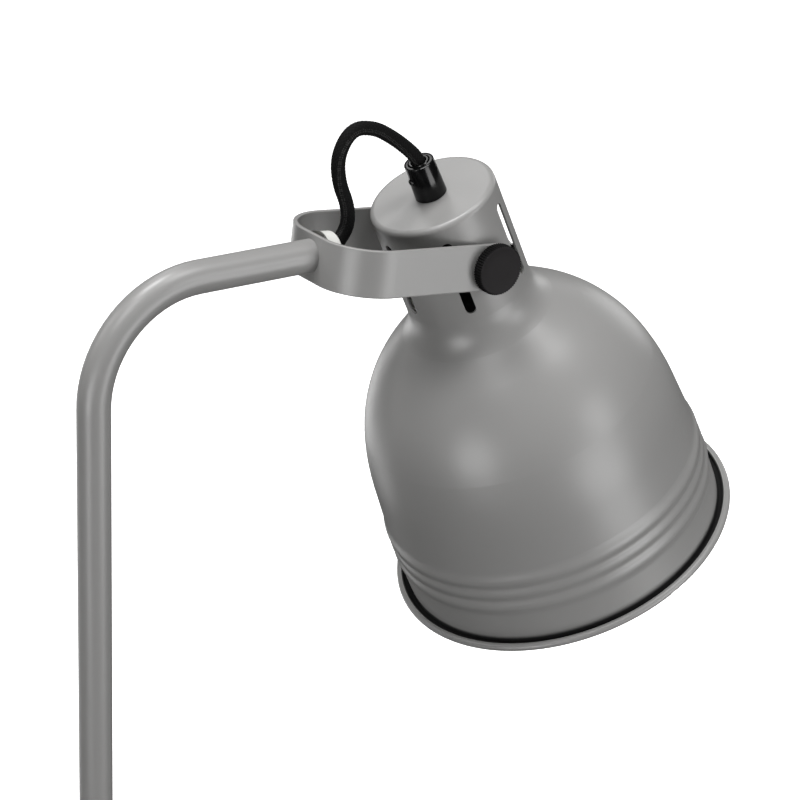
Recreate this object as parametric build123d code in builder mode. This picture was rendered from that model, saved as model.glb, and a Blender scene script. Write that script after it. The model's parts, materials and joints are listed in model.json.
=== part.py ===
# Desk lamp with a bent tube stem, a U-shaped yoke and a tilting spun metal shade.
#
# Frame: +Z up, +X from the stem towards the shade, origin at the centre of the
# underside of the base, on the stem's axis. All lengths are in millimetres.
import os
from math import cos, pi, radians, sin, tan

from build123d import *

os.makedirs("parts", exist_ok=True)

# ---- driving dimensions -------------------------------------------------------------
arm_height = 420.0          # height of the horizontal arm's axis
stem_reach = 175.0          # stem axis to tilt axis
tube_diameter = 14.2
tube_wall = 1.2
bend_radius = 48.5          # centreline of the stem's bend

base_radius = 80.0
base_height = 18.0
cover_sheet = 1.2
cover_edge_radius = 5.0
pad_thickness = 2.0
weight_radius = 76.5

yoke_droop = 5.9            # the yoke hangs this many degrees below the arm
yoke_reach = 73.2           # tilt axis to the outer face of the yoke's base
yoke_half_width = 30.9
yoke_height = 20.5
yoke_sheet = 2.0
yoke_corner_radius = 23.0
yoke_hole_rise = 0.6        # the arm's hole sits this much above the strip's middle

shade_tilt = 25.0           # shade axis to the vertical, at rest
shade_sheet = 0.9
neck_radius = 28.0
cap_top = -28.3             # along the shade's axis, counted from the tilt axis
flare_start = 21.8
bead_start = 124.0
rim_radius = 80.0
skirt_end = 165.4
slot_width = 4.6
slot_length = 37.0
slot_middle = -1.0
# around the neck from the near knob, positive towards the side the shade is raised to
slot_angles = (-150, -90, -30, 36, 90, 144)

knob_radius = 11.0
knob_face = 36.0            # knob's outer face to the lamp's middle plane
knob_gap = 0.3
knob_teeth = 60
stud_radius = 2.45
stud_bore = 2.5
stud_clear = 2.6

nipple_radius = 5.0
nipple_bore = 3.75
nipple_hex = 8.1            # corner radius of the thin nuts on the nipples

socket_bore = 13.3          # radius of the lamp holder's thread
holder_radius = 19.5

cord_radius = 3.1
# The flexible cord's route, x and z, from inside the yoke's bush to the cord grip
cord_route = [
    (104.9, 419.7), (111.7, 419.0), (116.5, 423.9), (121.0, 430.2), (120.6, 439.0),
    (115.8, 449.7), (114.8, 461.7), (121.7, 472.2), (133.0, 470.9), (142.0, 465.5),
    (149.0, 460.2), (154.9, 454.9), (156.6, 451.4),
]

# ---- reference planes ---------------------------------------------------------------
droop = radians(yoke_droop)
tilt = radians(shade_tilt)

yoke_forward = Vector(cos(droop), 0, -sin(droop))
yoke_up = Vector(sin(droop), 0, cos(droop))
arm_end = Vector(stem_reach, 0, 0) - yoke_forward * yoke_reach + yoke_up * yoke_hole_rise
pivot = Vector(stem_reach, 0, arm_height - arm_end.Z)
arm_end = pivot - yoke_forward * yoke_reach + yoke_up * yoke_hole_rise

# x runs towards the shade, y across the lamp, z up the strip's height
yoke_plane = Plane(origin=pivot, x_dir=yoke_forward, z_dir=yoke_up)
# x runs along the strip, y up its height: the side view of the yoke
yoke_side = Plane(origin=pivot, x_dir=yoke_forward, z_dir=(0, -1, 0))
# z runs from the arm's end towards the shade, through the middle of the yoke's hole
yoke_bore = Plane(origin=arm_end, x_dir=(0, 1, 0), z_dir=yoke_forward)
yoke_bore_axis = Axis(arm_end, yoke_forward)

# The shade's axis points out of its mouth. In the profile plane x is the radius and
# y the distance along the axis from the tilt axis.
shade_axis_dir = Vector(sin(tilt), 0, -cos(tilt))
shade_across = Vector(cos(tilt), 0, sin(tilt))
shade_axis = Axis(pivot, shade_axis_dir)
shade_profile = Plane(origin=pivot, x_dir=shade_across, z_dir=(0, 1, 0))
shade_plane = Plane(origin=pivot, x_dir=shade_across, z_dir=shade_axis_dir)


def along_yoke(distance):
    """A plane square to the yoke's hole, this far from the strip's outer face."""
    return yoke_bore.offset(distance)


def along_shade(distance):
    """A plane square to the shade's axis, this far from the tilt axis."""
    return shade_plane.offset(distance)


def across_lamp(side, distance):
    """A plane parallel to the lamp's middle plane; side is -1 near, +1 far."""
    return Plane(origin=pivot + Vector(0, side * distance, 0), x_dir=(1, 0, 0), z_dir=(0, side, 0))


# ---- base ---------------------------------------------------------------------------
hole_radius = nipple_radius + 0.1
cover_middle = cover_sheet / 2
cover_lift = 0.8            # the cover's edge stays this far off the desk
lead_height = 7.0
lead_hole_radius = 4.9
with BuildPart() as base_cover:
    with BuildSketch(Plane.XZ):
        with BuildLine():
            top = Line(
                (hole_radius, base_height - cover_middle),
                (base_radius - cover_middle - cover_edge_radius, base_height - cover_middle),
            )
            edge = JernArc(top @ 1, top % 1, cover_edge_radius, -90)
            Line(edge @ 1, (base_radius - cover_middle, cover_lift))
        trace(line_width=cover_sheet)
    revolve(axis=Axis.Z)
    with BuildSketch(Plane.YZ.offset(-base_radius - 1)):
        with Locations((0, lead_height)):
            Circle(lead_hole_radius)
    extrude(amount=10, mode=Mode.SUBTRACT)
base_cover.part.label = "base_cover"
export_step(base_cover.part, "parts/base_cover.step")

weight_top = base_height - cover_sheet
weight_chamfer = 2.5
recess_radius = 17.0
recess_top = 11.5
channel_width = 10.5
channel_height = 11.0
with BuildPart() as base_weight:
    with BuildSketch(Plane.XY.offset(pad_thickness)):
        Circle(weight_radius)
    extrude(amount=weight_top - pad_thickness)
    chamfer(base_weight.edges().group_by(Axis.Z)[-1], length=weight_chamfer)
    with BuildSketch(Plane.XY.offset(pad_thickness)):
        Circle(recess_radius)
    extrude(amount=recess_top - pad_thickness, mode=Mode.SUBTRACT)
    with BuildSketch(Plane.XY):
        Circle(hole_radius)
    extrude(amount=base_height, mode=Mode.SUBTRACT)
    with BuildSketch(Plane.XY.offset(pad_thickness)):
        with Locations((-base_radius / 2, 0)):
            Rectangle(base_radius, channel_width)
    extrude(amount=channel_height - pad_thickness, mode=Mode.SUBTRACT)
base_weight.part.label = "base_weight"
export_step(base_weight.part, "parts/base_weight.step")

pad_chamfer = 0.5
with BuildPart() as base_pad:
    with BuildSketch(Plane.XY):
        Circle(weight_radius + 1.0)
    extrude(amount=pad_thickness)
    chamfer(base_pad.edges().group_by(Axis.Z)[0], length=pad_chamfer)
base_pad.part.label = "base_pad"
export_step(base_pad.part, "parts/base_pad.step")

# The rubber bush where the mains lead enters the back of the base. Its profile runs
# from the centre of its hole in the cover: x inwards, y out from the lead's axis.
lead_bore = 3.25
lead_flange_radius = 6.3
lead_flange_face = -2.0
lead_bush_end = 3.2
with BuildPart() as lead_bush:
    with BuildSketch(Plane(origin=(-base_radius, 0, lead_height), x_dir=(1, 0, 0), z_dir=(0, -1, 0))):
        with BuildLine():
            Polyline(
                (lead_flange_face, lead_bore + 0.6),
                (lead_flange_face + 0.6, lead_bore),
                (lead_bush_end, lead_bore),
                (lead_bush_end, lead_hole_radius - 0.5),
                (lead_bush_end - 0.5, lead_hole_radius),
                (-0.05, lead_hole_radius),
                (-0.05, lead_flange_radius),
                (lead_flange_face + 0.8, lead_flange_radius),
                (lead_flange_face, lead_flange_radius - 0.8),
                close=True,
            )
        make_face()
    revolve(axis=Axis((0, 0, lead_height), (1, 0, 0)))
lead_bush.part.label = "lead_bush"
export_step(lead_bush.part, "parts/lead_bush.step")

# ---- stem ---------------------------------------------------------------------------
cut_allowance = 5.0         # the arm is made this much too long, then cut to the yoke
with BuildPart() as stem_tube:
    with BuildLine(Plane.XZ):
        upright = Line((0, base_height), (0, arm_height - bend_radius))
        bend = JernArc(upright @ 1, upright % 1, bend_radius, -90)
        Line(bend @ 1, (arm_end.X + cut_allowance, arm_height))
    with BuildSketch(Plane.XY.offset(base_height)):
        Circle(tube_diameter / 2)
        Circle(tube_diameter / 2 - tube_wall, mode=Mode.SUBTRACT)
    sweep()
    split(bisect_by=yoke_bore, keep=Keep.BOTTOM)
stem_tube.part.label = "stem_tube"
export_step(stem_tube.part, "parts/stem_tube.step")

insert_radius = tube_diameter / 2 - tube_wall
insert_depth = 16.0
with BuildPart() as stem_foot_insert:
    with BuildSketch(Plane.XY.offset(base_height)):
        Circle(insert_radius)
        Circle(nipple_radius, mode=Mode.SUBTRACT)
    extrude(amount=insert_depth)
stem_foot_insert.part.label = "stem_foot_insert"
export_step(stem_foot_insert.part, "parts/stem_foot_insert.step")

foot_nipple_bottom = 4.0
with BuildPart() as foot_nipple:
    with BuildSketch(Plane.XY.offset(foot_nipple_bottom)):
        Circle(nipple_radius)
        Circle(nipple_bore, mode=Mode.SUBTRACT)
    extrude(amount=base_height + insert_depth - 2 - foot_nipple_bottom)
foot_nipple.part.label = "foot_nipple"
export_step(foot_nipple.part, "parts/foot_nipple.step")

washer_thickness = 1.5
washer_radius = 13.0
with BuildPart() as foot_washer:
    with BuildSketch(Plane.XY.offset(recess_top - washer_thickness)):
        Circle(washer_radius)
        Circle(hole_radius, mode=Mode.SUBTRACT)
    extrude(amount=washer_thickness)
foot_washer.part.label = "foot_washer"
export_step(foot_washer.part, "parts/foot_washer.step")

foot_nut_height = 4.5
with BuildPart() as foot_nut:
    with BuildSketch(Plane.XY.offset(recess_top - washer_thickness - foot_nut_height)):
        RegularPolygon(nipple_hex, 6)
        Circle(nipple_radius, mode=Mode.SUBTRACT)
    extrude(amount=foot_nut_height)
foot_nut.part.label = "foot_nut"
export_step(foot_nut.part, "parts/foot_nut.step")

# ---- yoke and its fixing ------------------------------------------------------------
arm_insert_length = 9.0
with BuildPart() as arm_end_insert:
    with BuildSketch(Plane(origin=(arm_end.X + cut_allowance, 0, arm_height), z_dir=(-1, 0, 0))):
        Circle(insert_radius)
    extrude(amount=arm_insert_length + cut_allowance)
    split(bisect_by=yoke_bore, keep=Keep.BOTTOM)
    with BuildSketch(along_yoke(cut_allowance)):
        Circle(nipple_radius)
    extrude(amount=-arm_insert_length - 4 * cut_allowance, mode=Mode.SUBTRACT)
arm_end_insert.part.label = "arm_end_insert"
export_step(arm_end_insert.part, "parts/arm_end_insert.step")

yoke_middle = yoke_half_width - yoke_sheet / 2
yoke_tip = yoke_height / 2
yoke_edge_fillet = 0.6
with BuildPart() as yoke:
    with BuildSketch(yoke_plane.offset(-yoke_height / 2)):
        with BuildLine():
            FilletPolyline(
                (yoke_tip + 2, -yoke_middle),
                (-yoke_reach + yoke_sheet / 2, -yoke_middle),
                (-yoke_reach + yoke_sheet / 2, yoke_middle),
                (yoke_tip + 2, yoke_middle),
                radius=yoke_corner_radius - yoke_sheet / 2,
            )
        trace(line_width=yoke_sheet)
    extrude(amount=yoke_height)
    with BuildSketch(yoke_side):
        Circle(yoke_tip)
        with Locations((-yoke_reach / 2 - 1, 0)):
            Rectangle(yoke_reach + 2, yoke_height)
    extrude(amount=yoke_half_width + 1, both=True, mode=Mode.INTERSECT)
    long_edges = yoke.edges().filter_by(
        lambda e: abs(abs(yoke_plane.to_local_coords(e.center()).Z) - yoke_height / 2) < 0.01
    )
    fillet(long_edges, radius=yoke_edge_fillet)
    with BuildSketch(along_yoke(-1)):
        Circle(hole_radius)
    extrude(amount=yoke_sheet + 2, mode=Mode.SUBTRACT)
    with BuildSketch(yoke_side):
        Circle(stud_clear)
    extrude(amount=yoke_half_width + 1, both=True, mode=Mode.SUBTRACT)
yoke.part.label = "yoke"
export_step(yoke.part, "parts/yoke.step")

yoke_nut_height = 1.3
yoke_washer_height = 1.0
yoke_washer_radius = 10.3
bush_height = 6.2
bush_start = yoke_sheet + yoke_nut_height + yoke_washer_height
bush_end = bush_start + bush_height
nipple_start = -7.0
nipple_end = bush_start + 2.9

with BuildPart() as yoke_nipple:
    with BuildSketch(along_yoke(nipple_start)):
        Circle(nipple_radius)
        Circle(nipple_bore, mode=Mode.SUBTRACT)
    extrude(amount=nipple_end - nipple_start)
yoke_nipple.part.label = "yoke_nipple"
export_step(yoke_nipple.part, "parts/yoke_nipple.step")

with BuildPart() as yoke_nut:
    with BuildSketch(along_yoke(yoke_sheet)):
        RegularPolygon(nipple_hex, 6)
        Circle(nipple_radius, mode=Mode.SUBTRACT)
    extrude(amount=yoke_nut_height)
yoke_nut.part.label = "yoke_nut"
export_step(yoke_nut.part, "parts/yoke_nut.step")

with BuildPart() as yoke_washer:
    with BuildSketch(along_yoke(yoke_sheet + yoke_nut_height)):
        Circle(yoke_washer_radius)
        Circle(nipple_radius, mode=Mode.SUBTRACT)
    extrude(amount=yoke_washer_height)
    fillet(yoke_washer.edges().group_by(yoke_bore_axis)[-1].sort_by(SortBy.RADIUS)[-1], 0.4)
yoke_washer.part.label = "yoke_washer"
export_step(yoke_washer.part, "parts/yoke_washer.step")

# The white bush guards the cord: its bore opens like a trumpet
bush_radius = 9.9
bush_throat = 4.7
bush_mouth = 7.2
bush_outer_round = 1.0
bush_mouth_round = 0.6
with BuildPart() as cord_bush:
    with BuildSketch(Plane(origin=arm_end, x_dir=yoke_forward, z_dir=(0, -1, 0))):
        with BuildLine():
            Polyline(
                (bush_end - bush_mouth_round, bush_mouth - bush_mouth_round),
                (nipple_end, bush_throat),
                (nipple_end, nipple_radius),
                (bush_start, nipple_radius),
                (bush_start, bush_radius),
                (bush_end - bush_outer_round, bush_radius),
            )
            JernArc((bush_end - bush_outer_round, bush_radius), (1, 0), bush_outer_round, -90)
            Line((bush_end, bush_radius - bush_outer_round), (bush_end, bush_mouth))
            JernArc((bush_end, bush_mouth), (0, -1), bush_mouth_round, -90)
        make_face()
    revolve(axis=yoke_bore_axis)
cord_bush.part.label = "cord_bush"
export_step(cord_bush.part, "parts/cord_bush.step")

# ---- shade --------------------------------------------------------------------------
# The sheet's middle line, from the cap's hole out to the curled rim
half_sheet = shade_sheet / 2
cap_round = 2.0
flare_radius, flare_turn = 20.0, 47.9
cone_run = 15.4
dome_radius, dome_turn = 74.6, 30.4
waist_radius, waist_turn = 110.5, 12.7
wall_lean = flare_turn - dome_turn - waist_turn  # the last stretch leans outwards
bead_rise, bead_fall = 21.8, 18.2  # the beads' sides lean out, then in, by these angles
bead_lead_in = 12.0         # radius where the wall turns out into the first bead
# the radii of the beads' crests and of the valleys between them
bead_radii = [6.1, 4.25, 5.7, 4.5, 6.3]
bead_run_out = 10.0
skirt_turn_radius = 1.0
curl_radius, curl_turn = 1.3, 235.0
with BuildPart() as shade:
    with BuildSketch(shade_profile):
        with BuildLine():
            cap = Line(
                (hole_radius, cap_top + half_sheet),
                (neck_radius - half_sheet - cap_round, cap_top + half_sheet),
            )
            shoulder = JernArc(cap @ 1, cap % 1, cap_round, 90)
            neck = Line(shoulder @ 1, (neck_radius - half_sheet, flare_start))
            flare = JernArc(neck @ 1, neck % 1, flare_radius, -flare_turn)
            cone = PolarLine(flare @ 1, cone_run, direction=flare % 1)
            dome = JernArc(cone @ 1, cone % 1, dome_radius, dome_turn)
            waist = JernArc(dome @ 1, dome % 1, waist_radius, waist_turn)
            wall_run = (bead_start - (waist @ 1).Y) / cos(radians(wall_lean))
            wall = PolarLine(waist @ 1, wall_run, direction=waist % 1)
            # three rolled beads: crests turn the wall inwards, valleys turn it out
            bead = JernArc(wall @ 1, wall % 1, bead_lead_in, wall_lean - bead_rise)
            way = bead_rise + bead_fall
            for bead_radius in bead_radii:
                bead = JernArc(bead @ 1, bead % 1, bead_radius, way)
                way = -way
            swell = JernArc(bead @ 1, bead % 1, bead_run_out, -bead_fall)
            skirt = Line(swell @ 1, ((swell @ 1).X, skirt_end - skirt_turn_radius))
            turn = JernArc(skirt @ 1, skirt % 1, skirt_turn_radius, -90)
            floor_run = rim_radius - half_sheet - curl_radius - (turn @ 1).X
            floor = PolarLine(turn @ 1, floor_run, direction=turn % 1)
            JernArc(floor @ 1, floor % 1, curl_radius, -curl_turn)
        trace(line_width=shade_sheet)
    revolve(axis=shade_axis)
    for angle in slot_angles:
        outward = Vector(0, -cos(radians(angle)), 0) + shade_across * sin(radians(angle))
        with BuildSketch(Plane(origin=pivot, x_dir=shade_axis_dir, z_dir=outward)):
            with Locations((slot_middle, 0)):
                SlotOverall(slot_length, slot_width)
        extrude(amount=neck_radius + 5, mode=Mode.SUBTRACT)
    with BuildSketch(Plane(origin=pivot, x_dir=(1, 0, 0), z_dir=(0, 1, 0))):
        Circle(stud_clear)
    extrude(amount=neck_radius + 5, both=True, mode=Mode.SUBTRACT)
shade.part.label = "shade"
export_step(shade.part, "parts/shade.step")
print("skirt radius", round((skirt @ 1).X + half_sheet, 2), "from", round((skirt @ 0).Y, 2))

# ---- tilt joint: knobs, studs, washers and weld nuts, near side and far side --------
knob_back = yoke_half_width + knob_gap
stud_inner = 20.5
stud_outer = knob_face - 2.4
stud_chamfer = 0.5
knob_tooth = 0.35
knob_inner_chamfer = 0.6
knob_outer_chamfer = 0.7
nut_depth = 4.0
nut_face = neck_radius - shade_sheet - 0.45
weld_nut_hex = 4.6
spacer_radius = 6.0
spacer_gap = 0.05
for side_name, side in (("near", -1), ("far", 1)):
    with BuildPart() as knob:
        with BuildSketch(across_lamp(side, knob_back)):
            with BuildLine():
                step = radians(180 / knob_teeth)
                Polyline(
                    [
                        (radius * cos(step * (2 * i + half)), radius * sin(step * (2 * i + half)))
                        for i in range(knob_teeth)
                        for half, radius in ((0, knob_radius), (1, knob_radius - knob_tooth))
                    ],
                    close=True,
                )
            make_face()
        extrude(amount=knob_face - knob_back)
        with BuildSketch(Plane(origin=pivot, x_dir=(1, 0, 0), z_dir=(0, 0, 1))):
            with BuildLine():
                Polyline(
                    (0, side * knob_back),
                    (knob_radius - knob_inner_chamfer, side * knob_back),
                    (knob_radius, side * (knob_back + knob_inner_chamfer)),
                    (knob_radius, side * (knob_face - knob_outer_chamfer)),
                    (knob_radius - knob_outer_chamfer, side * knob_face),
                    (0, side * knob_face),
                    close=True,
                )
            make_face()
        revolve(axis=Axis(pivot, (0, 1, 0)), mode=Mode.INTERSECT)
        with BuildSketch(across_lamp(side, yoke_half_width)):
            Circle(stud_radius)
        extrude(amount=stud_outer - yoke_half_width, mode=Mode.SUBTRACT)
    knob.part.label = f"knob_{side_name}"
    export_step(knob.part, f"parts/knob_{side_name}.step")

    with BuildPart() as stud:
        with BuildSketch(across_lamp(side, stud_inner)):
            Circle(stud_radius)
        extrude(amount=stud_outer - stud_inner)
        chamfer(stud.edges().group_by(Axis.Y)[-1 if side < 0 else 0], length=stud_chamfer)
    stud.part.label = f"knob_stud_{side_name}"
    export_step(stud.part, f"parts/knob_stud_{side_name}.step")

    with BuildPart() as spacer:
        with BuildSketch(across_lamp(side, neck_radius + spacer_gap)):
            Circle(spacer_radius)
            Circle(stud_clear, mode=Mode.SUBTRACT)
        extrude(amount=yoke_half_width - yoke_sheet - neck_radius - 2 * spacer_gap)
    spacer.part.label = f"neck_washer_{side_name}"
    export_step(spacer.part, f"parts/neck_washer_{side_name}.step")

    with BuildPart() as weld_nut:
        with BuildSketch(across_lamp(side, nut_face - nut_depth)):
            RegularPolygon(weld_nut_hex, 6)
            Circle(stud_bore, mode=Mode.SUBTRACT)
        extrude(amount=nut_depth)
    weld_nut.part.label = f"weld_nut_{side_name}"
    export_step(weld_nut.part, f"parts/weld_nut_{side_name}.step")

# ---- cord grip on the cap -----------------------------------------------------------
grip_foot_radius = 7.0
grip_radius = 6.55
grip_bore = 4.8
grip_top = -45.2
collet_radius = 4.5
collet_bore = cord_radius + 0.1
collet_top = -45.5
holder_nipple_top = cap_top - 5.0
collet_bottom = holder_nipple_top - 4.8
# a side screw clamps the collet; its plane starts on the shade's axis
screw_hole_radius = 1.55
screw_radius = 1.5
screw_start, screw_end = 4.85, 6.3
screw_slot = 0.5
grip_screw_plane = Plane(
    origin=pivot - shade_axis_dir * 35.5, x_dir=(0, 1, 0), z_dir=-shade_across
)
with BuildPart() as cord_grip:
    with BuildSketch(shade_profile):
        with BuildLine():
            Polyline(
                (nipple_radius, cap_top),
                (grip_foot_radius - 0.3, cap_top),
                (grip_foot_radius, cap_top - 0.3),
                (grip_radius, grip_top + 0.4),
                (grip_radius - 0.4, grip_top),
                (grip_bore + 0.2, grip_top),
                (grip_bore, grip_top + 0.2),
                (grip_bore, holder_nipple_top),
                (nipple_radius, holder_nipple_top),
                close=True,
            )
        make_face()
    revolve(axis=shade_axis)
    with BuildSketch(grip_screw_plane):
        Circle(screw_hole_radius)
    extrude(amount=grip_foot_radius + 1, mode=Mode.SUBTRACT)
cord_grip.part.label = "cord_grip"
export_step(cord_grip.part, "parts/cord_grip.step")

with BuildPart() as cord_grip_collet:
    with BuildSketch(shade_profile):
        with BuildLine():
            Polyline(
                (collet_bore, collet_bottom),
                (collet_radius, collet_bottom),
                (collet_radius, collet_top + 0.5),
                (collet_radius - 0.4, collet_top),
                (collet_bore + 0.5, collet_top),
                (collet_bore, collet_top + 0.5),
                close=True,
            )
        make_face()
    revolve(axis=shade_axis)
cord_grip_collet.part.label = "cord_grip_collet"
export_step(cord_grip_collet.part, "parts/cord_grip_collet.step")

with BuildPart() as cord_grip_screw:
    with BuildSketch(grip_screw_plane.offset(screw_start)):
        Circle(screw_radius)
    extrude(amount=screw_end - screw_start)
    with BuildSketch(grip_screw_plane.offset(screw_end)):
        Rectangle(screw_slot, 2 * screw_radius)
    extrude(amount=-screw_slot, mode=Mode.SUBTRACT)
cord_grip_screw.part.label = "cord_grip_screw"
export_step(cord_grip_screw.part, "parts/cord_grip_screw.step")

# ---- lamp holder inside the neck ----------------------------------------------------
cap_inside = cap_top + shade_sheet
lock_nut_height = 2.5
holder_top = cap_inside + lock_nut_height
cap_wall = 1.6
holder_split = 0.0
holder_mouth = 27.0
holder_collar = 4.0
shell_sheet = 0.5
shell_outer = socket_bore + shell_sheet
with BuildPart() as holder_nipple:
    with BuildSketch(along_shade(holder_nipple_top)):
        Circle(nipple_radius)
        Circle(nipple_bore, mode=Mode.SUBTRACT)
    extrude(amount=holder_top + 7.0 - holder_nipple_top)
holder_nipple.part.label = "holder_nipple"
export_step(holder_nipple.part, "parts/holder_nipple.step")

with BuildPart() as holder_lock_nut:
    with BuildSketch(along_shade(cap_inside)):
        RegularPolygon(nipple_hex, 6)
        Circle(nipple_radius, mode=Mode.SUBTRACT)
    extrude(amount=lock_nut_height)
holder_lock_nut.part.label = "holder_lock_nut"
export_step(holder_lock_nut.part, "parts/holder_lock_nut.step")

with BuildPart() as holder_cap:
    with BuildSketch(shade_profile):
        with BuildLine():
            Polyline(
                (nipple_radius, holder_top),
                (8.0, holder_top),
                (8.5, holder_top + 6.0),
                (holder_radius - 3.0, holder_top + 9.5),
                (holder_radius, holder_top + 13.0),
                (holder_radius, holder_split),
                (holder_radius - cap_wall, holder_split),
                (holder_radius - cap_wall, holder_top + 14.0),
                (holder_radius - 4.0, holder_top + 11.0),
                (nipple_radius, holder_top + 8.0),
                close=True,
            )
        make_face()
    revolve(axis=shade_axis)
holder_cap.part.label = "holder_cap"
export_step(holder_cap.part, "parts/holder_cap.step")

insert_top = holder_top + 14.5
wire_hole_radius = 1.8
wire_hole_offset = 10.0
insert_dimple = 3.0
contact_recess = 7.0
contact_depth = 2.4
with BuildPart() as holder_insert:
    with BuildSketch(along_shade(insert_top)):
        Circle(holder_radius - cap_wall - 0.2)
        with Locations((0, wire_hole_offset), (0, -wire_hole_offset)):
            Circle(wire_hole_radius, mode=Mode.SUBTRACT)
    extrude(amount=holder_split - insert_top)
    with BuildSketch(along_shade(insert_top)):
        Circle(insert_dimple)
    extrude(amount=insert_dimple, mode=Mode.SUBTRACT)
    with BuildSketch(along_shade(holder_split)):
        Circle(contact_recess)
    extrude(amount=-contact_depth, mode=Mode.SUBTRACT)
holder_insert.part.label = "holder_insert"
export_step(holder_insert.part, "parts/holder_insert.step")

with BuildPart() as holder_body:
    with BuildSketch(shade_profile):
        with BuildLine():
            Polyline(
                (shell_outer, holder_split),
                (holder_radius, holder_split),
                (holder_radius, holder_mouth - holder_collar),
                (holder_radius + 1.2, holder_mouth - holder_collar),
                (holder_radius + 1.2, holder_mouth - 1.5),
                (holder_radius - 0.3, holder_mouth),
                (shell_outer + 1.0, holder_mouth),
                (shell_outer, holder_mouth - 1.0),
                close=True,
            )
        make_face()
    revolve(axis=shade_axis)
holder_body.part.label = "holder_body"
export_step(holder_body.part, "parts/holder_body.step")

with BuildPart() as holder_shell:
    with BuildSketch(along_shade(holder_split)):
        Circle(shell_outer)
        Circle(socket_bore, mode=Mode.SUBTRACT)
    extrude(amount=holder_mouth - holder_collar - holder_split)
holder_shell.part.label = "holder_shell"
export_step(holder_shell.part, "parts/holder_shell.step")

spring_sheet = 0.6
spring_width, spring_length = 5.0, 12.0
contact_radius = 2.2
contact_height = 1.6
contact_round = 0.6
contact_floor = holder_split - contact_depth
with BuildPart() as holder_contact:
    with BuildSketch(along_shade(contact_floor)):
        Rectangle(spring_width, spring_length)
    extrude(amount=spring_sheet)
    with BuildSketch(along_shade(contact_floor + spring_sheet)):
        Circle(contact_radius)
    extrude(amount=contact_height)
    contact_edges = holder_contact.edges().filter_by(GeomType.CIRCLE)
    fillet(contact_edges.group_by(shade_axis)[-1], radius=contact_round)
holder_contact.part.label = "holder_contact"
export_step(holder_contact.part, "parts/holder_contact.step")

# ---- flexible cord between the yoke and the cord grip -------------------------------
route = [Vector(x, 0, z) for x, z in cord_route]
runs = [b - a for a, b in zip(route, route[1:])]
turns = [a.get_angle(b) for a, b in zip(runs, runs[1:])]
cord_bends = [
    0.45 * min(a.length, b.length) / tan(radians(turn / 2))
    for a, b, turn in zip(runs, runs[1:], turns)
]
print("cord bend radii", [round(r, 1) for r in cord_bends])
with BuildPart() as cord:
    with BuildLine() as cord_line:
        FilletPolyline(route, radius=cord_bends)
    with BuildSketch(Plane(origin=route[0], z_dir=runs[0])):
        Circle(cord_radius)
    sweep()
cord.part.label = "cord"
export_step(cord.part, "parts/cord.step")
cord_length = sum(edge.length for edge in cord_line.edges())
plain_volume = cord_length * pi * cord_radius**2
print("cord length", round(cord_length, 1), "volume ratio", round(cord.part.volume / plain_volume, 4))
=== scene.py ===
# Desk lamp: finishes, knobs, cord grip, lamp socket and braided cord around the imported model.
import json

from math import atan2, cos, pi, radians, sin

import bmesh
import bpy
from mathutils import Matrix, Vector


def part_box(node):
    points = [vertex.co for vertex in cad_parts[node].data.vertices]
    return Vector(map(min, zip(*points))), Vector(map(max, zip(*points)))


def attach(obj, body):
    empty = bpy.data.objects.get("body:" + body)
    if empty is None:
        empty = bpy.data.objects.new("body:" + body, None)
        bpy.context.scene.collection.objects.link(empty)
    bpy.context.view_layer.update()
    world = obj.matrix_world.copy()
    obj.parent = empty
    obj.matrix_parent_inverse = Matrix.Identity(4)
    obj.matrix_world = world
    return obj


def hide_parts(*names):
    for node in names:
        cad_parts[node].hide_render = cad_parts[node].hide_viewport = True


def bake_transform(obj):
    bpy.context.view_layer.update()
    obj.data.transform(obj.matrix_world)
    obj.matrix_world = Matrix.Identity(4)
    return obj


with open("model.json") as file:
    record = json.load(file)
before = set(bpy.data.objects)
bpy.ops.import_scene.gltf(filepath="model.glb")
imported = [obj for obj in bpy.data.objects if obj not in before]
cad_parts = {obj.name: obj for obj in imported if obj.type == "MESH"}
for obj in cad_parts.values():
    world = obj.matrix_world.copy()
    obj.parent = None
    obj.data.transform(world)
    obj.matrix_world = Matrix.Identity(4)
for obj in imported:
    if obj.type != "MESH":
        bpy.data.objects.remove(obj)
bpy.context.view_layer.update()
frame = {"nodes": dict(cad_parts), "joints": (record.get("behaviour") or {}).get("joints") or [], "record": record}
nodes = frame["nodes"]
bpy.ops.object.select_all(action="DESELECT")

# ---- places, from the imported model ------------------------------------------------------
joint_places = {joint["name"]: Vector(joint["pos_m"]) for joint in frame["joints"]}
pivot = joint_places["shade_tilt"]
socket = next(m for m in frame["record"]["mounts"] if m["name"] == "lamp_socket")
shade_axis = Vector(socket["axis"]).normalized()
across = Vector((0, 1, 0))
shade_right = across.cross(shade_axis).normalized()


def on_shade_axis(distance):
    """The point this far along the shade's axis from the tilt axis."""
    return pivot + shade_axis * distance


# ---- camera -----------------------------------------------------------------------------
camera_turn, camera_height, camera_roll = radians(-35.17), radians(22.01), radians(2.06)
camera_distance, camera_side, camera_drop = 1.25801, -0.02219, -0.06603
focal_length, sensor_width = 131.72, 36.0
nearest, farthest = 0.05, 40.0
level_right = Vector((cos(camera_turn), sin(camera_turn), 0))
towards_camera = Vector(
    (
        sin(camera_turn) * cos(camera_height),
        -cos(camera_turn) * cos(camera_height),
        sin(camera_height),
    )
)
level_up = towards_camera.cross(level_right)
camera_right = level_right * cos(camera_roll) + level_up * sin(camera_roll)
camera_up = level_up * cos(camera_roll) - level_right * sin(camera_roll)
camera_place = (
    pivot
    + camera_right * camera_side
    + camera_up * camera_drop
    + towards_camera * camera_distance
)
lens = bpy.data.cameras.new("camera")
lens.lens = focal_length
lens.sensor_width = sensor_width
lens.clip_start, lens.clip_end = nearest, farthest
camera = bpy.data.objects.new("camera", lens)
turn = Matrix((camera_right, camera_up, towards_camera)).transposed()
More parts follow.
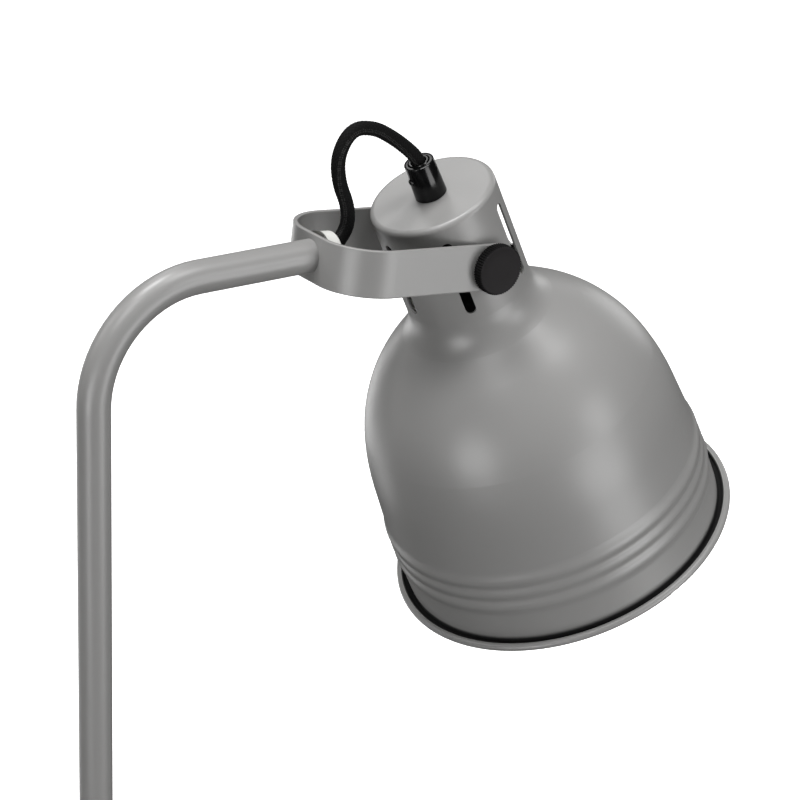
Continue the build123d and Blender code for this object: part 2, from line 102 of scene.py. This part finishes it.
camera.matrix_world = Matrix.Translation(camera_place) @ turn.to_4x4()
bpy.context.scene.collection.objects.link(camera)
bpy.context.scene.camera = camera


# ---- nodes and materials ----------------------------------------------------------------
def add_node(tree, kind, settings, sockets):
    """Adds a node: its settings come first, then its sockets' values or links."""
    node = tree.nodes.new(kind)
    for name, value in settings.items():
        setattr(node, name, value)
    for name, value in sockets.items():
        if isinstance(value, Amount):
            value = value.socket
        if isinstance(value, bpy.types.NodeSocket):
            tree.links.new(value, node.inputs[name])
        else:
            node.inputs[name].default_value = value
    return node


class Amount:
    """A number that varies over a surface, for use in ordinary sums."""

    def __init__(self, finish, socket):
        self.finish = finish
        self.socket = socket

    def maths(self, operation, *amounts):
        settings, sockets = {"operation": operation}, dict(enumerate(amounts))
        node = self.finish.node("ShaderNodeMath", settings, sockets)
        return Amount(self.finish, node.outputs[0])

    def __add__(self, other):
        return self.maths("ADD", self, other)

    def __radd__(self, other):
        return self.maths("ADD", other, self)

    def __sub__(self, other):
        return self.maths("SUBTRACT", self, other)

    def __rsub__(self, other):
        return self.maths("SUBTRACT", other, self)

    def __mul__(self, other):
        return self.maths("MULTIPLY", self, other)

    def __rmul__(self, other):
        return self.maths("MULTIPLY", other, self)

    def __truediv__(self, other):
        return self.maths("DIVIDE", self, other)

    def __pow__(self, other):
        return self.maths("POWER", self, other)


class Finish:
    """A material. Constants go straight on the shader; what varies is set with vary()."""

    def __init__(self, name, colour, roughness, **constants):
        self.material = bpy.data.materials.new(name)
        self.material.use_nodes = True
        self.tree = self.material.node_tree
        self.shader = self.tree.nodes["Principled BSDF"]
        self.shader.inputs["Base Color"].default_value = (*colour, 1)
        self.shader.inputs["Roughness"].default_value = roughness
        for socket, value in constants.items():
            self.shader.inputs[socket.replace("_", " ")].default_value = value

    def node(self, kind, settings, sockets):
        return add_node(self.tree, kind, settings, sockets)

    def amount(self, kind, output, settings=None, sockets=None):
        node = self.node(kind, settings or {}, sockets or {})
        return Amount(self, node.outputs[output])

    def place(self):
        """The point on the piece, in metres."""
        return self.node("ShaderNodeTexCoord", {}, {}).outputs["Object"]

    def along(self, direction, origin=(0, 0, 0)):
        """How far the point is along a direction from an origin, in metres."""
        moved = self.node(
            "ShaderNodeVectorMath",
            {"operation": "SUBTRACT"},
            {0: self.place(), 1: tuple(origin)},
        )
        return self.amount(
            "ShaderNodeVectorMath",
            "Value",
            {"operation": "DOT_PRODUCT"},
            {0: moved.outputs["Vector"], 1: tuple(direction)},
        )

    def noise(self, scale, detail):
        """An even mottle, from 0 to 1, finer where its scale is higher."""
        return self.amount(
            "ShaderNodeTexNoise",
            "Fac",
            {},
            {"Vector": self.place(), "Scale": scale, "Detail": detail},
        )

    def ramp(self, amount, low, high):
        """0 below low, 1 above high, smooth between."""
        return self.amount(
            "ShaderNodeMapRange",
            "Result",
            {"interpolation_type": "SMOOTHSTEP"},
            {"Value": amount, "From Min": low, "From Max": high},
        )

    def between(self, amount, colour_a, colour_b):
        """A colour that runs from a to b as the amount runs from 0 to 1."""
        mix = self.node("ShaderNodeMix", {"data_type": "RGBA"}, {"Factor": amount})
        for socket, colour in (("A", colour_a), ("B", colour_b)):
            target = next(
                s for s in mix.inputs if s.name == socket and s.type == "RGBA"
            )
            if isinstance(colour, bpy.types.NodeSocket):
                self.tree.links.new(colour, target)
            else:
                target.default_value = (*colour, 1)
        return next(s for s in mix.outputs if s.type == "RGBA")

    def vary(self, **sockets):
        for name, value in sockets.items():
            if isinstance(value, Amount):
                value = value.socket
            self.tree.links.new(value, self.shader.inputs[name.replace("_", " ")])

    def relief(self, height, depth):
        """Bumps as deep as depth, in metres, where height runs from 0 to 1."""
        bump = self.node(
            "ShaderNodeBump", {}, {"Height": height, "Distance": depth, "Strength": 1.0}
        )
        self.vary(Normal=bump.outputs["Normal"])


# ---- lights, floor and background -------------------------------------------------------
bpy.context.scene.view_settings.view_transform = "Standard"
bpy.context.scene.view_settings.look = "None"

box_distance = 1.6
small_box, large_box, wide_box = (0.62, 0.62), (0.8, 0.8), (1.05, 0.8)
# name, degrees to the right of the camera, degrees up, size and power
soft_boxes = [
    ("low_left_box", -32, -12, large_box, 11.3),
    ("low_right_box", 56, -14, wide_box, 13.0),
    ("right_box", 60, 15, small_box, 6.8),
    ("top_right_box", 60, 70, small_box, 11.7),
    ("top_front_box", -30, 50, small_box, 7.9),
    ("top_left_box", -90, 75, small_box, 22.2),
    ("left_box", -90, 30, small_box, 3.6),
    ("back_left_low_box", -150, -18, small_box, 2.2),
    ("left_low_box", -130, -30, small_box, 1.5),
    ("back_right_box", 150, 10, small_box, 2.1),
    ("back_left_box", -150, 45, small_box, 2.9),
]
for name, side, rise, size, power in soft_boxes:
    turned, raised = camera_turn + radians(side), radians(rise)
    direction = Vector(
        (sin(turned) * cos(raised), -cos(turned) * cos(raised), sin(raised))
    )
    light = bpy.data.lights.new(name, "AREA")
    light.shape = "ELLIPSE"
    light.size, light.size_y = size
    light.energy = power
    soft_box = bpy.data.objects.new(name, light)
    soft_box.visible_camera = False
    soft_box.location = pivot + direction * box_distance
    soft_box.rotation_euler = direction.to_track_quat("Z", "Y").to_euler()
    bpy.context.scene.collection.objects.link(soft_box)

floor_radius, floor_sides = 14.0, 96
floor_gap = 0.0002
floor_glow = 0.85
backdrop_glow = 0.95
room_glow = 0.025
white = (1.0, 1.0, 1.0, 1.0)
# The floor lies a hair under the pad, and lets the lamp be seen from below
bpy.ops.mesh.primitive_circle_add(
    vertices=floor_sides, radius=floor_radius, fill_type="NGON", location=(0, 0, -floor_gap)
)
floor = bpy.context.object
floor.name = "floor"
floor.visible_diffuse = False
floor.visible_glossy = False
floor.visible_shadow = False
floor_paint = Finish(
    "floor_paint",
    colour=(0.9, 0.9, 0.9),
    roughness=0.9,
    Specular_IOR_Level=0.0,
    Emission_Color=white,
    Emission_Strength=floor_glow,
)
underside = floor_paint.amount("ShaderNodeNewGeometry", "Backfacing")
clear = floor_paint.node("ShaderNodeBsdfTransparent", {}, {})
either = floor_paint.node(
    "ShaderNodeMixShader",
    {},
    {"Fac": underside, 1: floor_paint.shader.outputs["BSDF"], 2: clear.outputs["BSDF"]},
)
floor_paint.tree.links.new(
    either.outputs["Shader"], floor_paint.tree.nodes["Material Output"].inputs["Surface"]
)
floor.data.materials.append(floor_paint.material)

# The room is dim, and white where the camera sees it
world = bpy.data.worlds.new("studio")
world.use_nodes = True
studio = world.node_tree
room = studio.nodes["Background"]
room.inputs["Color"].default_value = white
room.inputs["Strength"].default_value = room_glow
backdrop = add_node(
    studio, "ShaderNodeBackground", {}, {"Color": white, "Strength": backdrop_glow}
)
seen = add_node(studio, "ShaderNodeLightPath", {}, {}).outputs["Is Camera Ray"]
shown = add_node(
    studio,
    "ShaderNodeMixShader",
    {},
    {"Fac": seen, 1: room.outputs["Background"], 2: backdrop.outputs["Background"]},
)
studio.links.new(shown.outputs["Shader"], studio.nodes["World Output"].inputs["Surface"])
bpy.context.scene.world = world

# ---- finishes ---------------------------------------------------------------------------
# Satin powder coat: a fine orange peel and a very slight drift in tone
paint_grey = (0.212, 0.210, 0.207)
paint_light = (0.224, 0.222, 0.218)


def powder_coat(name):
    coat = Finish(name, colour=paint_grey, roughness=0.42)
    drift = coat.noise(scale=14, detail=2)
    coat.tone = coat.between(drift, paint_grey, paint_light)
    peel = coat.noise(scale=1100, detail=2)
    coat.sheen = 0.33 + coat.noise(scale=420, detail=3) * 0.08
    coat.vary(Base_Color=coat.tone, Roughness=coat.sheen)
    coat.relief(peel, depth=0.000012)
    return coat


grey_paint = powder_coat("grey_paint")

# The shade is the same paint, white inside the bell, with near-black painted shade deep in the rim's trough
shade_paint = powder_coat("shade_paint")
along_axis = shade_paint.along(shade_axis, pivot)
off_x = shade_paint.along(shade_right, pivot)
off_y = shade_paint.along(across, pivot)
from_axis = (off_x * off_x + off_y * off_y) ** 0.5
facing = shade_paint.node("ShaderNodeTexCoord", {}, {}).outputs["Normal"]


def facing_along(direction):
    return shade_paint.amount(
        "ShaderNodeVectorMath",
        "Value",
        {"operation": "DOT_PRODUCT"},
        {0: facing, 1: tuple(direction)},
    )


outward = (facing_along(shade_right) * off_x + facing_along(across) * off_y) / from_axis
neck_end, rim_start, turned_in = (0.020, 0.026), (0.1635, 0.1645), (-0.3, -0.15)
wall_inside = 1 - shade_paint.ramp(outward, *turned_in)
below_neck = shade_paint.ramp(along_axis, *neck_end)
above_rim = 1 - shade_paint.ramp(along_axis, *rim_start)
white_inside = wall_inside * below_neck * above_rim
# Painted shade: near black deep in the rim's trough, reaching over the curl's inner edge to darken its highlight,
# on surfaces not turned towards the mouth
trough_wall, trough_curl = (0.0738, 0.0742), (0.0773, 0.0783)
trough_depth, turned_to_mouth = (0.1606, 0.1630), (0.1, 0.4)
trough_out = shade_paint.ramp(from_axis, *trough_wall)
trough_in = 1 - shade_paint.ramp(from_axis, *trough_curl)
trough_deep = shade_paint.ramp(along_axis, *trough_depth)
trough_open = 1 - shade_paint.ramp(facing_along(shade_axis), *turned_to_mouth)
trough_painted_shade = trough_out * trough_in * trough_deep * trough_open
bell_white, painted_shade_black, trough_dullness = (0.78, 0.78, 0.76), (0.001, 0.001, 0.001), 0.6
shade_tone = shade_paint.between(white_inside, shade_paint.tone, bell_white)
shade_tone = shade_paint.between(trough_painted_shade, shade_tone, painted_shade_black)
shade_paint.vary(
    Base_Color=shade_tone, Roughness=shade_paint.sheen + trough_painted_shade * trough_dullness
)

# Matte black moulded plastic with a fine spark-eroded grain, and near-black painted shade on the knurled edge,
# where its deep valleys fall dark
knurl_shade_radii = (0.0102, 0.0106)
black_plastic = Finish(
    "black_plastic", colour=(0.012, 0.012, 0.012), roughness=0.6, Specular_IOR_Level=0.12
)
grain = black_plastic.noise(scale=2600, detail=2)
knob_x = black_plastic.along(Vector((1, 0, 0)), pivot)
knob_z = black_plastic.along(Vector((0, 0, 1)), pivot)
# Painted shade: near black past this radius, over the knurled edge
knurl_painted_shade = black_plastic.ramp((knob_x * knob_x + knob_z * knob_z) ** 0.5, *knurl_shade_radii)
face_tone = black_plastic.between(grain, (0.0115, 0.0105, 0.011), (0.0165, 0.0152, 0.0158))
black_plastic.vary(
    Base_Color=black_plastic.between(knurl_painted_shade, face_tone, (0.0012, 0.0011, 0.0012)),
    Roughness=0.6 + grain * 0.14,
)
black_plastic.relief(grain, depth=0.00002)

# Gloss black moulded plastic, with faint handling marks in its gloss
gloss_black = Finish(
    "gloss_black", colour=(0.004, 0.004, 0.0045), roughness=0.18, Specular_IOR_Level=0.3
)
marks = gloss_black.noise(scale=160, detail=4)
gloss_black.vary(
    Base_Color=gloss_black.between(marks, (0.002, 0.002, 0.0022), (0.004, 0.004, 0.0043)),
    Roughness=0.16 + gloss_black.ramp(marks, 0.4, 0.7) * 0.08,
)

black_thermoset = Finish("black_thermoset", colour=(0.012, 0.012, 0.012), roughness=0.3)
flow = black_thermoset.noise(scale=220, detail=3)
black_thermoset.vary(
    Base_Color=black_thermoset.between(flow, (0.01, 0.01, 0.01), (0.018, 0.017, 0.016)),
    Roughness=0.24 + flow * 0.16,
)

white_nylon = Finish(
    "white_nylon",
    colour=(0.52, 0.52, 0.5),
    roughness=0.4,
    Subsurface_Weight=0.1,
    Subsurface_Radius=(0.001, 0.001, 0.001),
)
milk = white_nylon.noise(scale=180, detail=2)
white_nylon.vary(
    Base_Color=white_nylon.between(milk, (0.48, 0.48, 0.455), (0.56, 0.56, 0.545)),
    Roughness=0.3 + milk * 0.12,
)

# Zinc plate over turned steel: a fine grain and a slight bluish to yellow drift
zinc = Finish("zinc", colour=(0.6, 0.6, 0.58), roughness=0.35, Metallic=1.0)
plating = zinc.noise(scale=90, detail=3)
zinc.vary(
    Base_Color=zinc.between(plating, (0.56, 0.58, 0.6), (0.66, 0.64, 0.58)),
    Roughness=0.26 + zinc.noise(scale=900, detail=2) * 0.16,
)

brass = Finish("brass", colour=(0.75, 0.56, 0.27), roughness=0.28, Metallic=1.0)
tarnish = brass.noise(scale=130, detail=4)
brass.vary(
    Base_Color=brass.between(tarnish, (0.78, 0.6, 0.3), (0.6, 0.42, 0.2)),
    Roughness=0.22 + tarnish * 0.2,
)

cast_iron = Finish("cast_iron", colour=(0.09, 0.09, 0.09), roughness=0.75)
sand = cast_iron.noise(scale=700, detail=4)
cast_iron.vary(
    Base_Color=cast_iron.between(sand, (0.06, 0.06, 0.062), (0.12, 0.118, 0.112)),
    Roughness=0.65 + sand * 0.2,
)
cast_iron.relief(sand, depth=0.0003)

black_rubber = Finish("black_rubber", colour=(0.018, 0.018, 0.018), roughness=0.7)
bloom = black_rubber.noise(scale=300, detail=3)
black_rubber.vary(
    Base_Color=black_rubber.between(bloom, (0.014, 0.014, 0.014), (0.03, 0.03, 0.029)),
    Roughness=0.6 + bloom * 0.18,
)
black_rubber.relief(bloom, depth=0.00003)

foam = Finish("foam", colour=(0.02, 0.02, 0.02), roughness=0.9)
cells = foam.amount(
    "ShaderNodeTexVoronoi", "Distance", {}, {"Vector": foam.place(), "Scale": 1400}
)
foam.vary(
    Base_Color=foam.between(cells, (0.008, 0.008, 0.008), (0.04, 0.04, 0.04)),
    Roughness=0.82 + cells * 0.12,
)
foam.relief(cells, depth=0.0002)

# Braided black thread: painted shade between the strands, and paler stitches along its seam
braid = Finish("black_braid", colour=(0.01, 0.01, 0.01), roughness=0.75, Specular_IOR_Level=0.1)
crest = braid.amount("ShaderNodeAttribute", "Fac", {"attribute_name": "crest"})
tracer = braid.amount("ShaderNodeAttribute", "Fac", {"attribute_name": "tracer"})
fibre = braid.noise(scale=4200, detail=2)
# Painted shade: darker where the braid lies low between its strands
strand_and_shade = braid.between(crest * crest, (0.0004, 0.0004, 0.0004), (0.0075, 0.0075, 0.0078))
tracer_shows, fibre_shows = 0.8, 0.35
strand_and_shade = braid.between(tracer * tracer_shows, strand_and_shade, (0.05, 0.05, 0.049))
strand_and_shade = braid.between(fibre * fibre_shows, strand_and_shade, (0.002, 0.002, 0.002))
braid.vary(Base_Color=strand_and_shade, Roughness=0.62 + fibre * 0.25)
braid.relief(fibre, depth=0.00006)

cad_finishes = {
    "grey_paint": grey_paint,
    "gloss_black": gloss_black,
    "black_plastic": black_plastic,
    "black_thermoset": black_thermoset,
    "white_nylon": white_nylon,
    "zinc": zinc,
    "brass": brass,
    "cast_iron": cast_iron,
    "black_rubber": black_rubber,
    "foam": foam,
    "black_braid": braid,
}
for part in frame["record"]["subparts"]:
    finish = cad_finishes[part["material_slot"]]
    if part["node"] == "shade":
        finish = shade_paint
    node = nodes[part["node"]]
    for material_slot in node.material_slots:
        material_slot.material = finish.material


# ---- modelling helpers ------------------------------------------------------------------
def edit(piece):
    """Goes into edit mode on one piece alone."""
    bpy.ops.object.select_all(action="DESELECT")
    bpy.context.view_layer.objects.active = piece
    piece.select_set(True)
    bpy.ops.object.mode_set(mode="EDIT")


def done():
    bpy.ops.object.mode_set(mode="OBJECT")


def drawn_up(name, radius, steps, sides=96, closed=True):
    """A round piece drawn up from a disc or ring: each step is (rise, new radius)."""
    bpy.ops.object.select_all(action="DESELECT")
    bpy.ops.mesh.primitive_circle_add(
        vertices=sides, radius=radius, fill_type="NGON" if closed else "NOTHING"
    )
    piece = bpy.context.object
    piece.name = name
    edit(piece)
    bpy.ops.mesh.select_all(action="SELECT")
    height = 0.0
    for rise, new_radius in steps:
        height += rise
        bpy.ops.mesh.extrude_region_move(TRANSFORM_OT_translate={"value": (0, 0, rise)})
        if new_radius != radius:
            scale = new_radius / radius
            bpy.ops.transform.resize(value=(scale, scale, 1), center_override=(0, 0, height))
            radius = new_radius
    if closed:
        bpy.ops.mesh.select_all(action="SELECT")
        bpy.ops.mesh.normals_make_consistent(inside=False)
    done()
    return piece


def stand_on(piece, foot, axis):
    """Moves a piece from the origin to its foot, with its Z along the axis, and applies it."""
    turned = axis.to_track_quat("Z", "Y").to_matrix().to_4x4()
    piece.matrix_world = Matrix.Translation(foot) @ turned
    bpy.ops.object.select_all(action="DESELECT")
    bpy.context.view_layer.objects.active = piece
    piece.select_set(True)
    bpy.ops.object.transform_apply(location=True, rotation=True, scale=True)


def smooth(piece, angle):
    """Shades the piece smooth where its faces meet at less than the angle, in degrees."""
    bpy.ops.object.select_all(action="DESELECT")
    bpy.context.view_layer.objects.active = piece
    piece.select_set(True)
    bpy.ops.object.shade_smooth_by_angle(angle=radians(angle))


def finish_piece(piece, finish, body, slot, *replaced):
    piece.data.materials.clear()
    piece.data.materials.append(finish.material)
    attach(piece, body)
    if replaced:
        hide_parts(*replaced)


# ---- the braided cord -------------------------------------------------------------------
cord_radius = 0.0031
cord_route = [
    (0.1049, 0.4197), (0.1117, 0.4190), (0.1165, 0.4239), (0.1210, 0.4302), (0.1206, 0.4390),
    (0.1158, 0.4497), (0.1148, 0.4617), (0.1217, 0.4722), (0.1330, 0.4709), (0.1420, 0.4655),
    (0.1490, 0.4602), (0.1549, 0.4549), (0.1566, 0.4514),
]
cord_steps = 40
line_data = bpy.data.curves.new("cord_line", "CURVE")
line_data.dimensions = "3D"
line_data.resolution_u = cord_steps
spline = line_data.splines.new("NURBS")
spline.points.add(len(cord_route) - 1)
for point, (x, z) in zip(spline.points, cord_route):
    point.co = (x, 0, z, 1)
spline.order_u = 3
spline.use_endpoint_u = True
line = bpy.data.objects.new("cord_line", line_data)
bpy.context.scene.collection.objects.link(line)
bpy.context.view_layer.update()
line_mesh = bpy.data.meshes.new_from_object(line)
cord_path = [v.co.copy() for v in line_mesh.vertices]
bpy.data.objects.remove(line)
bpy.data.meshes.remove(line_mesh)

strands_each_way = 12
strand_relief = 0.00022
cord_sides = 72
travelled = [0.0]
for a, b in zip(cord_path, cord_path[1:]):
    travelled.append(travelled[-1] + (b - a).length)
cord_length = travelled[-1]
seam_start = 1.6
seam_twist = 2.5
seam_width = 0.00045
seam_fall = 1.6
stitch_pitch, stitch_width, stitch_length = 0.0009, 0.6, 0.5
strand_middle, strand_lift = 0.6, 0.4


def strand_heights(length_along, angle):
    """Height of the braid here, 1 at its crests, and whether a stitch of its seam shows."""
    laps = length_along / (2 * pi * cord_radius)
    one = strands_each_way * (laps + angle / (2 * pi))
    other = strands_each_way * (laps - angle / (2 * pi))
    weave = cos(pi * one) * cos(pi * other)
    across_one = 2 * ((one + 0.5) % 1) - 1
    across_other = 2 * ((other + 0.5) % 1) - 1
    height_one = (1 - across_one**2) * (strand_middle + strand_lift * weave)
    height_other = (1 - across_other**2) * (strand_middle - strand_lift * weave)
    seam = seam_start + seam_twist * length_along / cord_length
    beside = ((angle - seam + pi) % (2 * pi) - pi) * cord_radius
    height = max(height_one, height_other)
    if abs(beside) < seam_width:
        height -= seam_fall * (1 - (beside / seam_width) ** 2)
    beside_seam = abs(abs(beside) - seam_width) < seam_width * stitch_width
    on_stitch = length_along % stitch_pitch < stitch_pitch * stitch_length
    return height, 1.0 if beside_seam and on_stitch else 0.0


cord_mesh = bpy.data.meshes.new("cord_loop")
cord_shape = bmesh.new()
crests, tracers, rings = [], [], []
for i, centre in enumerate(cord_path):
    before, after = cord_path[max(i - 1, 0)], cord_path[min(i + 1, len(cord_path) - 1)]
    heading = (after - before).normalized()
    upward = heading.cross(across)
    ring = []
    for k in range(cord_sides):
        angle = 2 * pi * k / cord_sides
        height, shows = strand_heights(travelled[i], angle)
        radius = cord_radius - strand_relief * (1 - height)
        offset = (across * cos(angle) + upward * sin(angle)) * radius
        ring.append(cord_shape.verts.new(centre + offset))
        crests.append(height)
        tracers.append(shows)
    rings.append(ring)
for ring, following in zip(rings, rings[1:]):
    for k in range(cord_sides):
        n = (k + 1) % cord_sides
        cord_shape.faces.new((ring[k], ring[n], following[n], following[k]))
cord_shape.faces.new(rings[0][::-1])
cord_shape.faces.new(rings[-1])
cord_shape.normal_update()
bmesh.ops.recalc_face_normals(cord_shape, faces=cord_shape.faces)
cord_shape.to_mesh(cord_mesh)
cord_shape.free()
for name, heights in (("crest", crests), ("tracer", tracers)):
    layer = cord_mesh.attributes.new(name, "FLOAT", "POINT")
    layer.data.foreach_set("value", heights)
cord_loop = bpy.data.objects.new("cord_loop", cord_mesh)
bpy.context.scene.collection.objects.link(cord_loop)
smooth(cord_loop, 60)
cord_loop.data.materials.append(braid.material)
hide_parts("cord")
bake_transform(cord_loop)

# ---- the two clamping knobs -------------------------------------------------------------
knob_radius = 0.011
knob_teeth = 60
knob_tooth = 0.00045
knurled_width = 0.0007
# The share of a tooth's depth cut away at each of its points
tooth_cuts = (0.0, 0.3, 1.0, 0.3)
tooth_points = len(tooth_cuts)


def clamping_knob(side_name, side):
    low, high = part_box(f"knob_{side_name}")
    thickness = high[1] - low[1]
    back = low[1] if side > 0 else -high[1]
    knob = drawn_up(
        f"knurled_knob_{side_name}",
        knob_radius - 0.0008,
        [
            (0.0, knob_radius - 0.0005),
            (0.0005, knob_radius),
            (thickness - 0.0011, knob_radius),
            (0.0006, knob_radius - 0.0006),
            (0.0, knob_radius - 0.0014),
            (-0.00012, knob_radius - 0.0017),
            (0.0, knob_radius * 0.5),
        ],
        sides=knob_teeth * tooth_points,
    )
    for vertex in knob.data.vertices:
        reach = Vector(vertex.co[:2]).length
        if reach < knob_radius - knurled_width:
            continue
        laps = atan2(vertex.co.y, vertex.co.x) / (2 * pi)
        point = round(laps * knob_teeth * tooth_points) % tooth_points
        inward = 1 - tooth_cuts[point] * knob_tooth / reach
        vertex.co.x *= inward
        vertex.co.y *= inward
    facing_out = Vector((0, side, 0))
    stand_on(knob, Vector((pivot.x, side * back, pivot.z)), facing_out)
    smooth(knob, 32)
    finish_piece(knob, black_plastic, f"knob_{side_name}", "black_plastic", f"knob_{side_name}")


clamping_knob("near", -1)
clamping_knob("far", 1)

# ---- cord grip, its collet and screw ----------------------------------------------------
grip_foot_radius = 0.0070
grip_radius = 0.00655
grip_bore = 0.0048
cap_height = -0.0283
grip_height = 0.0169
grip = drawn_up(
    "grip_barrel",
    grip_foot_radius - 0.0002,
    [
        (0.0002, grip_foot_radius),
        (grip_height - 0.0006, grip_radius),
        (0.0003, grip_radius - 0.0001),
        (0.0001, grip_radius - 0.0003),
        (0.0, grip_bore + 0.0002),
        (-0.0002, grip_bore),
        (-0.0080, grip_bore),
    ],
)
stand_on(grip, on_shade_axis(cap_height), -shade_axis)
smooth(grip, 30)
finish_piece(grip, gloss_black, "shade", "gloss_black", "cord_grip")

collet_radius, collet_bore, collet_rise = 0.0045, 0.0032, 0.0101
collet = drawn_up(
    "grip_collet",
    collet_radius,
    [
        (0.0068, collet_radius),
        (0.0003, 0.0042),
        (0.0, 0.0036),
        (-0.0004, collet_bore),
        (-0.0060, collet_bore),
    ],
)
stand_on(collet, on_shade_axis(cap_height - collet_rise), -shade_axis)
smooth(collet, 30)
finish_piece(collet, gloss_black, "shade", "gloss_black", "cord_grip_collet")

screw_height = -0.0385
screw_side, screw_reach = shade_right, 0.0062
screw_radius, screw_recess = 0.0015, 0.0008
screw = drawn_up(
    "grip_screw",
    0.0012,
    [
        (0.0004, screw_radius),
        (0.0005, screw_radius),
        (0.0002, 0.0013),
        (0.0, screw_recess),
        (-0.0005, screw_recess),
    ],
)
stand_on(screw, on_shade_axis(screw_height) + screw_side * screw_reach, screw_side)
smooth(screw, 30)
finish_piece(screw, gloss_black, "shade", "gloss_black", "cord_grip_screw")

# ---- threaded shell of the lamp holder --------------------------------------------------
thread_pitch = 0.00363
thread_depth, thread_fullness = 0.0006, 0.7
thread_fade = 0.002
shell_radius, shell_length, shell_wall = 0.0133, 0.023, 0.0004
shell_rows, shell_sides = 64, 72
shell = drawn_up(
    "socket_thread",
    shell_radius,
    [(shell_length / shell_rows, shell_radius)] * shell_rows,
    sides=shell_sides,
    closed=False,
)
for vertex in shell.data.vertices:
    laps = atan2(vertex.co.y, vertex.co.x) / (2 * pi)
    from_end = vertex.co.z / thread_fade, (shell_length - vertex.co.z) / thread_fade
    fade = min(1.0, *from_end)
    wave = 0.5 - 0.5 * cos(2 * pi * (vertex.co.z / thread_pitch - laps))
    widen = 1 + max(fade, 0) * wave * thread_depth / shell_radius * thread_fullness
    vertex.co.x *= widen
    vertex.co.y *= widen
stand_on(shell, on_shade_axis(0.0), shade_axis)
wall = shell.modifiers.new("wall", "SOLIDIFY")
wall.thickness = shell_wall
wall.offset = 1.0
bpy.ops.object.modifier_apply(modifier=wall.name)
smooth(shell, 60)
finish_piece(shell, brass, "shade", "brass", "holder_shell")
